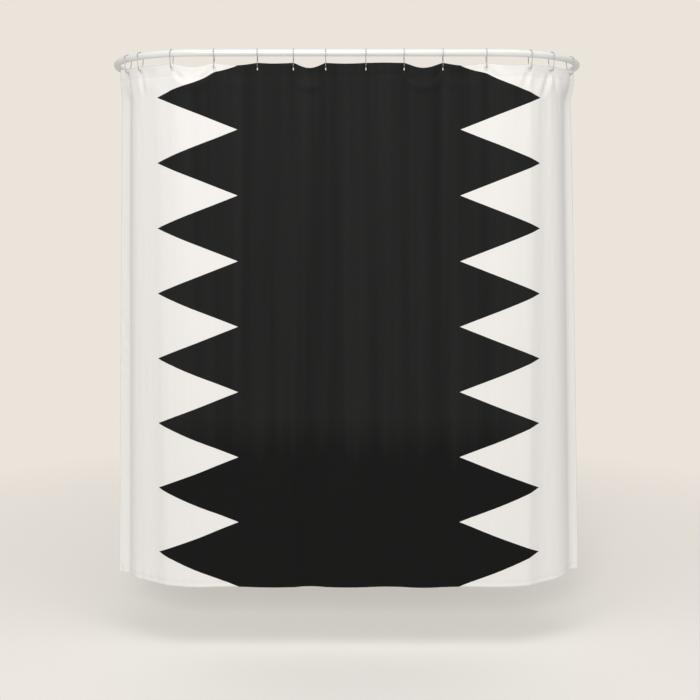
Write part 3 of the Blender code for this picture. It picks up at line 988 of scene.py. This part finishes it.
def normalsOf(grid):
    # unit normals that point to the cloth's back
    alongRow = np.gradient(grid, axis=1)
    alongColumn = np.gradient(grid, axis=0)
    normal = np.cross(alongRow, alongColumn)
    return normal / np.maximum(np.linalg.norm(normal, axis=2, keepdims=True), 1e-12)


def flatMap(obj, across, down, turned=None):
    # the flat cloth's own map, in metres from the middle of the hem; a turned edge carries the print on
    columns = len(across)
    uv = obj.data.uv_layers.new(name="flatCloth")
    order = np.zeros(len(obj.data.loops), np.int32)
    obj.data.loops.foreach_get("vertex_index", order)
    across = across - clothWidth / 2
    up = clothHigh - down
    if turned == "over":
        up = 2 * clothHigh - up
    if turned == "under":
        up = -up
    if turned == "side":
        across = np.sign(across) * clothWidth - across
    places = np.stack([across[order % columns], up[order // columns]], axis=1)
    uv.data.foreach_set("uv", places.astype(np.float32).ravel())


def cutHoles(obj, across, down, grid):
    # take out the faces inside each buttonhole, and draw the opening's corners in
    columns = len(across)
    cut = bmesh.new()
    cut.from_mesh(obj.data)
    cut.verts.ensure_lookup_table()
    gone = []
    for face in cut.faces:
        s = sum(across[v.index % columns] for v in face.verts) / 4
        d = sum(down[v.index // columns] for v in face.verts) / 4
        if ringTop < d < ringFoot and min(abs(s - flat) for flat in hookFlat) < holeHalf:
            gone.append(face)
    inset = ringHalf * 0.3
    for flat in hookFlat:
        for side in (-1, 1):
            i = int(np.argmin(np.abs(across - flat - side * holeHalf)))
            for end, way in ((ringTop, 1), (ringFoot, -1)):
                j = int(np.argmin(np.abs(down - end)))
                vert = cut.verts[j * columns + i]
                inwardStep = Vector(grid[j, i + (-side)] - grid[j, i]).normalized() * inset
                downStep = Vector(grid[j + way, i] - grid[j, i]).normalized() * inset
                vert.co += inwardStep + downStep
    bmesh.ops.delete(cut, geom=gone, context="FACES")
    cut.to_mesh(obj.data)
    cut.free()


def clothPiece(name, across, down, grid, holes=False, turned=None):
    # printed on the side that shows, and on the other side only a shadow of the ink
    obj = gridMesh(name, grid)
    flatMap(obj, across, down, turned)
    if holes:
        cutHoles(obj, across, down, grid)
    obj.data.shade_smooth()
    wear(obj, printedCloth)
    obj.data.materials.append(clothBack)
    back = 1 if turned is None else 0
    applyModifier(obj, "SOLIDIFY", thickness=clothMake["thick"], offset=0.0, material_offset=back)
    return obj


def holeMarks(low, high):
    # column places that include each buttonhole's sides
    marks = [low]
    for flat in hookFlat:
        marks += [flat - holeHalf, flat, flat + holeHalf]
    return [*marks, high]


holeRows = [0.0, 0.004, 0.0085, ringTop, (ringTop + ringFoot) / 2, ringFoot, 0.031]
holeRows += [0.035, 0.040, 0.043, 0.047, 0.053]
bodyRows = list(np.arange(0.060, 0.16, 0.007)) + list(np.arange(0.168, 1.845, 0.0165))
footRows = [clothHigh - h for h in (0.028, 0.025, 0.021, 0.0175, 0.0145, 0.0115, 0.008, 0.004, 0.0)]
panelDown = np.array([*holeRows, *bodyRows, *footRows])
sideMarks = [0.0, 0.0035, 0.007, clothMake["sideHem"]]
farMarks = [clothWidth - mark for mark in sideMarks[::-1]]
panelAcross = spread([*sideMarks, *holeMarks(0.0, clothWidth)[1:-1], *farMarks], 0.0085)
panelSheet = (panelAcross, panelDown, drape(panelAcross, panelDown))
panel = clothPiece("curtainCloth", *panelSheet, holes=True)

# the header, folded over to the back: it starts as a roll over the top edge
layer = clothMake["layer"]


def foldedBand(across, rows):
    # rows of (down, how far behind the cloth, how far above its place) make a band with a rolled edge
    down = np.array([row[0] for row in rows])
    grid = drape(across, down)
    grid += normalsOf(grid) * np.array([row[1] for row in rows])[:, None, None]
    grid[..., 2] += np.array([row[2] for row in rows])[:, None]
    return grid


edge = clothMake["sideHem"]
innerAcross = panelAcross[(panelAcross > edge - 0.0001) & (panelAcross < clothWidth - edge + 0.0001)]
headerRows = [(0.0, -0.0003, 0.0007), (0.0006, 0.0003, 0.0013), (0.0012, layer * 0.9, 0.0010)]
headerRows += [(d, layer, 0.0) for d in holeRows[1:] if d < clothMake["header"] - 0.0005]
headerRows.append((clothMake["header"], layer, 0.0))
headerDown = np.array([row[0] for row in headerRows])
headerSheet = (innerAcross, headerDown, foldedBand(innerAcross, headerRows))
header = clothPiece("headerFold", *headerSheet, holes=True, turned="over")

hemHeights = (clothMake["hem"], 0.021, 0.0175, 0.0145, 0.0115, 0.008, 0.004)
hemRows = [(clothHigh - h, layer, 0.0) for h in hemHeights]
hemRows += [(clothHigh - 0.0010, layer * 0.9, -0.0002), (clothHigh - 0.0004, 0.0003, -0.0002)]
hemRows.append((clothHigh, -0.0003, 0.0))
hemSheet = (innerAcross, np.array([row[0] for row in hemRows]), foldedBand(innerAcross, hemRows))
bottomHem = clothPiece("bottomHemFold", *hemSheet, turned="under")

sideHems = []
sideSheets = []
sideDown = np.array([0.0005, *panelDown[1:-1], clothHigh - 0.0005])
for name, sideAcross in (
    ("leftHemFold", np.array([0.0002, *sideMarks[1:3], clothMake["sideHem"] - 0.0004])),
    ("rightHemFold", clothWidth - np.array([clothMake["sideHem"] - 0.0004, *sideMarks[2:0:-1], 0.0002])),
):
    sideSheets.append((sideAcross, sideDown, drape(sideAcross, sideDown, layer)))
    sideHems.append(clothPiece(name, *sideSheets[-1], turned="side"))
print("cloth cut and sewn")


stitchMake = {"pitch": 0.0034, "length": 0.0026, "half": 0.00040, "proud": 0.00060}


def onSheet(sheet, places):
    # where places of flat cloth lie on a sheet's own mesh, and which way is outwards to its back there
    across, down, grid = sheet
    column = np.clip(np.searchsorted(across, places[:, 0], side="right") - 1, 0, len(across) - 2)
    row = np.clip(np.searchsorted(down, places[:, 1], side="right") - 1, 0, len(down) - 2)
    u = ((places[:, 0] - across[column]) / (across[column + 1] - across[column]))[:, None]
    v = ((places[:, 1] - down[row]) / (down[row + 1] - down[row]))[:, None]
    found = []
    for values in (grid, normalsOf(grid)):
        upper = values[row, column] * (1 - u) + values[row, column + 1] * u
        lower = values[row + 1, column] * (1 - u) + values[row + 1, column + 1] * u
        found.append(upper * (1 - v) + lower * v)
    return found


def stitchLine(name, places, sheet, behind):
    # places are (across, down) along a seam; each stitch is a low faceted bead, sunk at both ends
    line, normals = onSheet(sheet, places)
    lift = clothMake["thick"] / 2
    verts, faces, flats = [], [], []
    for i in range(0, len(places) - 1, 2):
        start, end = line[i], line[i + 1]
        normal = normals[i] * (1 if behind else -1)
        run = end - start
        side = np.cross(normal, run)
        side = side / max(np.linalg.norm(side), 1e-9) * stitchMake["half"]
        first = len(verts)
        for share, rise, wide in ((0.0, 0.0, 0.4), (0.22, 0.8, 1.0), (0.78, 0.8, 1.0), (1.0, 0.0, 0.4)):
            middle = start + run * share + normal * lift
            sunk = middle - normal * 0.0002
            verts += [sunk - side * wide, middle + normal * stitchMake["proud"] * rise, sunk + side * wide]
            flats += [(places[i, 0] - clothWidth / 2, clothHigh - places[i, 1])] * 3
        for ring in range(3):
            a = first + ring * 3
            for k in range(3):
                b = a + (k + 1) % 3
                faces.append((a + k, b, b + 3, a + k + 3))
        faces += [(first + 2, first + 1, first), (first + 9, first + 10, first + 11)]
    data = bpy.data.meshes.new(name)
    data.from_pydata([tuple(v) for v in verts], [], faces)
    uv = data.uv_layers.new(name="flatCloth")
    for loop in data.loops:
        uv.data[loop.index].uv = flats[loop.vertex_index]
    obj = bpy.data.objects.new(name, data)
    bpy.context.scene.collection.objects.link(obj)
    outward(obj, 0.000001)
    obj.data.shade_smooth()
    return wear(obj, sewnThread)


def seamPlaces(start, end, fixed, level):
    # pairs of places, a stitch's length apart, at every pitch along the seam
    count = int((end - start) / stitchMake["pitch"])
    places = []
    for i in range(count):
        for part in (0.0, stitchMake["length"]):
            place = start + i * stitchMake["pitch"] + part
            places.append((place, fixed) if level else (fixed, place))
    return np.array(places)


seams = []
sideSeams = []
sideLines = (clothMake["sideSeam"], clothWidth - clothMake["sideSeam"])
for word, headerOn, hemOn, sidesOn in (
    ("Front", panelSheet, panelSheet, (panelSheet, panelSheet)), ("Back", headerSheet, hemSheet, sideSheets)
):
    behind = word == "Back"
    headerPlaces = seamPlaces(edge, clothWidth - edge, clothMake["headerSeam"], True)
    seams.append(stitchLine("headerStitch" + word, headerPlaces, headerOn, behind))
    hemPlaces = seamPlaces(edge, clothWidth - edge, clothHigh - clothMake["hemSeam"], True)
    seams.append(stitchLine("hemStitch" + word, hemPlaces, hemOn, behind))
    for side, fixed, sideOn in zip(("left", "right"), sideLines, sidesOn):
        sidePlaces = seamPlaces(0.004, clothHigh - 0.004, fixed, False)
        sideSeams.append(stitchLine(side + "Stitch" + word, sidePlaces, sideOn, behind))
print("seams stitched")


holeMake = {"flat": 0.62, "points": 10, "roundSteps": 22, "straightSteps": 14, "ridge": 0.00016}


def makeButtonhole():
    # satin stitching round the slot: a flat-sided band whose every other step stands lower, so it ribs
    rise = ringFoot - ringTop - 2 * ringHalf
    start = startRing("buttonholeBand", ringTube, holeMake["points"], (ringHalf, 0, 0))
    editMode()
    bpy.ops.transform.resize(value=(1, holeMake["flat"], 1), center_override=(ringHalf, 0, 0))
    bpy.ops.transform.translate(value=(0, 0, -rise / 2))
    for step in range(holeMake["straightSteps"]):
        pushOn((0, 0, rise / holeMake["straightSteps"]))
    spinOn(-math.pi, (0, 0, rise / 2), (0, 1, 0), holeMake["roundSteps"])
    for step in range(holeMake["straightSteps"]):
        pushOn((0, 0, -rise / holeMake["straightSteps"]))
    spinOn(-math.pi, (0, 0, -rise / 2), (0, 1, 0), holeMake["roundSteps"])
    bpy.ops.mesh.select_all(action="DESELECT")
    objectMode()
    for vert in start.data.vertices:
        vert.select = (vert.index // holeMake["points"]) % 2 == 0
    bpy.ops.object.mode_set(mode="EDIT")
    bpy.ops.transform.shrink_fatten(value=-holeMake["ridge"])
    objectMode()
    outward(start, 0.00003)
    return wear(smooth(start, 60), sewnThread)


def bandMap(band, flat):
    # the print runs on over the stitching: each place's flat position, from the middle of the hem
    uv = band.data.uv_layers.new(name="flatCloth")
    sideways = onRail(hookAt[hookFlat.index(flat)]).to_3x3() @ Vector((1, 0, 0))
    middle = sum((vert.co for vert in band.data.vertices), Vector()) / len(band.data.vertices)
    for loop in band.data.loops:
        place = band.data.vertices[loop.vertex_index].co
        uv.data[loop.index].uv = (flat - clothWidth / 2 + (place - middle).dot(sideways), place.z)


bandPattern = makeButtonhole()
middleDown = (ringTop + ringFoot) / 2
for number, (flat, place) in enumerate(zip(hookFlat, hookAt), 1):
    node = f"buttonhole_{number:02d}"
    around = np.array([-0.002, 0.0, 0.002])
    at = onRail(place)
    at.translation = Vector(drape(flat + around, middleDown + around)[1, 1])
    band = copyOf(bandPattern, f"buttonholeStitch{number:02d}", at)
    bandMap(band, flat)
    standsFor(band, node, hookBodies[node])
bpy.data.objects.remove(bandPattern)
print("buttonholes stitched")


for piece, node in ((panel, "curtain_panel"), (header, "header_band"), (bottomHem, "bottom_hem")):
    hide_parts(node)
for piece in (panel, header, bottomHem, *seams):
    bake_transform(piece)
for piece, body, node in ((sideHems[0], "root", "left_hem"), (sideHems[1], "free_end", "right_hem")):
    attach(piece, body)
    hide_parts(node)
for piece in sideSeams:
    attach(piece, "root" if piece.name.startswith("left") else "free_end")


stageMake = {
    "floorZ": -0.22,
    "floor": (0.90, 0.885, 0.86),
    "seen": (0.83, 0.775, 0.71),
    "air": (0.80, 0.775, 0.745),
    "airStrength": 0.76,
    "light": (1.0, 0.985, 0.965),
}


def makeFloor():
    nothingSelected()
    bpy.ops.mesh.primitive_circle_add(
        vertices=96, radius=6.0, fill_type="NGON", location=(0, 0, stageMake["floorZ"])
    )
    floor = bpy.context.active_object
    floor.name = "studioFloor"
    bpy.ops.object.transform_apply(location=True, rotation=True, scale=True)
    n = Nodes("studioFloorPaint")
    place = n.add("ShaderNodeTexCoord").outputs["Object"]
    split = n.add("ShaderNodeSeparateXYZ")
    n.join(place, split.inputs[0])
    square = n.math("ADD", n.math("POWER", split.outputs["X"], 2.0), n.math("POWER", split.outputs["Y"], 2.0))
    out = n.math("SQRT", square)
    n.put("Base Color", stageMake["floor"])
    n.put("Roughness", 0.9)
    n.put("Specular IOR Level", 0.1)
    n.put("Alpha", n.between(out, 0.9, 3.2, 1.0, 0.0))
    wear(floor, n.material)


def addLight(name, place, aim, size, power):
    lamp = bpy.data.lights.new(name, "AREA")
    lamp.shape = "RECTANGLE"
    lamp.size, lamp.size_y = size
    lamp.energy = power
    lamp.color = stageMake["light"]
    obj = bpy.data.objects.new(name, lamp)
    obj.location = place
    obj.rotation_euler = (Vector(aim) - Vector(place)).to_track_quat("-Z", "Y").to_euler()
    bpy.context.scene.collection.objects.link(obj)


def makeStage():
    makeFloor()
    world = bpy.data.worlds.new("studioAir")
    bpy.context.scene.world = world
    world.use_nodes = True
    # the pale studio is seen as it is, and lights the curtain a little less than that
    tree = world.node_tree
    lit = tree.nodes["Background"]
    lit.inputs["Color"].default_value = (*stageMake["air"], 1.0)
    lit.inputs["Strength"].default_value = stageMake["airStrength"]
    seen = tree.nodes.new("ShaderNodeBackground")
    seen.inputs["Color"].default_value = (*stageMake["seen"], 1.0)
    rays = tree.nodes.new("ShaderNodeLightPath")
    choose = tree.nodes.new("ShaderNodeMixShader")
    tree.links.new(rays.outputs["Is Camera Ray"], choose.inputs[0])
    tree.links.new(lit.outputs[0], choose.inputs[1])
    tree.links.new(seen.outputs[0], choose.inputs[2])
    tree.links.new(choose.outputs[0], tree.nodes["World Output"].inputs["Surface"])
    addLight("frontKey", (-0.5, -5.2, 2.4), (0, -0.3, 0.9), (1.3, 1.3), 101)
    addLight("overhead", (0.2, -1.5, 4.2), (0, -0.6, 0.4), (3.4, 1.8), 42)


def makeCamera():
    distance = 3.70
    data = bpy.data.cameras.new("camera")
    data.sensor_width = 36.0
    data.lens = 53.25
    data.shift_x = 0.0046
    data.shift_y = -0.1367
    data.dof.use_dof = False
    camera = bpy.data.objects.new("camera", data)
    camera.location = (0.0, frontY - distance, 1.297)
    camera.rotation_euler = (math.radians(90 - 1.5), 0, 0)
    bpy.context.scene.collection.objects.link(camera)
    bpy.context.scene.camera = camera


makeStage()
makeCamera()
bpy.context.scene.view_settings.view_transform = "Standard"
bpy.context.view_layer.update()
